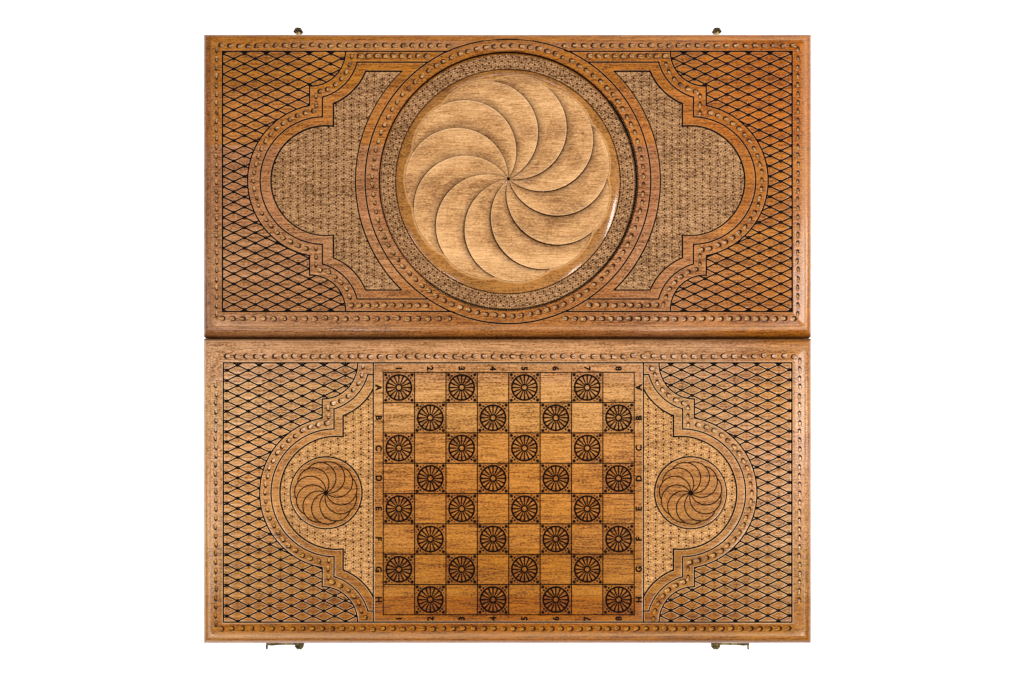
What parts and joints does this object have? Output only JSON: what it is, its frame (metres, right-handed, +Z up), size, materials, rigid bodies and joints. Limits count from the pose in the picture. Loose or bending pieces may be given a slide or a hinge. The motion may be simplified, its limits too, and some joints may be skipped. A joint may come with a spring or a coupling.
{
  "type": "folding backgammon board",
  "caption": "Flat hinged wooden games case lying open with its carved outer faces up: a swirling rosette on one half, a carved chess field on the other, trays below.",
  "frame": {"origin": "on the floor under the middle of the hinge line, with the case lying open and its carved faces up", "axes": "+X along the hinge line, +Y across the hinge towards the front edge of the half with the large rosette, +Z up"},
  "size_m": [0.6, 0.621, 0.0461],
  "materials": {
    "carved_wood": "carved, lightly antiqued, satin varnish",
    "wall_wood": "satin varnish",
    "field_veneer": "satin varnish",
    "dark_wood": "satin varnish",
    "light_wood": "satin varnish",
    "brass": "aged"
  },
  "bodies": {
    "whirl_half": {"whirl_panel": "carved_wood", "whirl_front_wall": "wall_wood", "whirl_spine_wall": "wall_wood", "whirl_left_wall": "wall_wood", "whirl_right_wall": "wall_wood", "whirl_field": "field_veneer", "whirl_dark_points": "dark_wood", "whirl_light_points": "light_wood", "whirl_left_rack": "dark_wood", "whirl_right_rack": "dark_wood", "left_latch_stud": "brass", "right_latch_stud": "brass", "left_hinge_whirl_leaf": "brass", "right_hinge_whirl_leaf": "brass", "hinge_pins": "brass", "whirl_hinge_screws": "brass"},
    "chess_half": {"chess_panel": "carved_wood", "chess_front_wall": "wall_wood", "chess_spine_wall": "wall_wood", "chess_left_wall": "wall_wood", "chess_right_wall": "wall_wood", "chess_field": "field_veneer", "chess_dark_points": "dark_wood", "chess_light_points": "light_wood", "chess_left_rack": "dark_wood", "chess_right_rack": "dark_wood", "left_hinge_chess_leaf": "brass", "right_hinge_chess_leaf": "brass", "chess_hinge_screws": "brass", "left_hook_pivot": "brass", "right_hook_pivot": "brass", "left_hook_washer": "brass", "right_hook_washer": "brass"},
    "left_hook_arm": {"left_hook": "brass"},
    "right_hook_arm": {"right_hook": "brass"}
  },
  "joints": [
    {"name": "fold", "type": "hinge", "parent": "whirl_half", "child": "chess_half", "pos_m": [0, 0, 0.002], "axis": [1, 0, 0], "range_deg": [0, 180]},
    {"name": "left_hook_swing", "type": "hinge", "parent": "chess_half", "child": "left_hook_arm", "pos_m": [-0.209, -0.3046, 0.01265], "axis": [0, -1, 0], "range_deg": [-90, 90]},
    {"name": "right_hook_swing", "type": "hinge", "parent": "chess_half", "child": "right_hook_arm", "pos_m": [0.209, -0.3046, 0.01265], "axis": [0, 1, 0], "range_deg": [-90, 90]}
  ]
}
